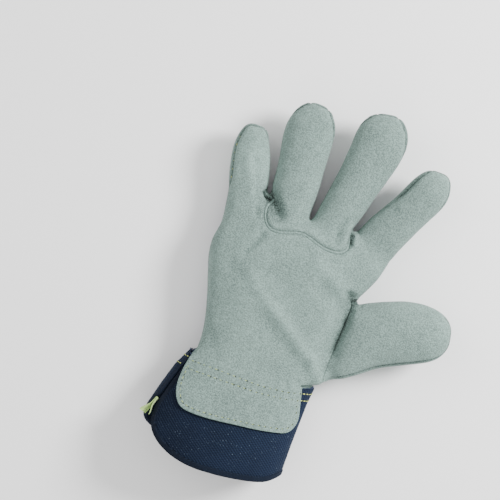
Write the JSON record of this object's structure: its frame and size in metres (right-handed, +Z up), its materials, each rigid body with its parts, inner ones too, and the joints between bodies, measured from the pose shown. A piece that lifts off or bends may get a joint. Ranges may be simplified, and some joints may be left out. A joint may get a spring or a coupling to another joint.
{
  "type": "work glove",
  "caption": "Right-hand work glove lying palm up: suede palm, fingers and thumb, cloth back with a knuckle strap, and a stiff open cuff with a slit.",
  "frame": {"origin": "middle of the outline, on the surface that the glove lies on", "axes": "+Y along the hand to the fingertips, +X to the thumb side, +Z up out of the palm"},
  "size_m": [0.19, 0.2712, 0.0454],
  "materials": {
    "suede": "matte split leather with a fine nap",
    "welt": "matte folded strip of split leather",
    "strap": "matte split leather with a fine nap",
    "back_cloth": "navy cotton twill with white flecks",
    "cuff_cloth": "stiff navy twill, bonded in two layers",
    "cuff_hem": "turned hem of navy twill",
    "label": "woven yellow-green tape"
  },
  "bodies": {
    "root": {"palm_leather": "suede", "finger_fronts": "suede", "thumb_leather": "suede", "fourchette_little_ring": "suede", "fourchette_ring_middle": "suede", "fourchette_middle_index": "suede", "fingertip_little": "suede", "fingertip_ring": "suede", "fingertip_middle": "suede", "back_denim": "back_cloth", "knuckle_strap": "strap", "gunn_welt": "welt", "safety_cuff": "cuff_cloth", "cuff_hem": "cuff_hem", "size_label": "label"}
  },
  "joints": []
}
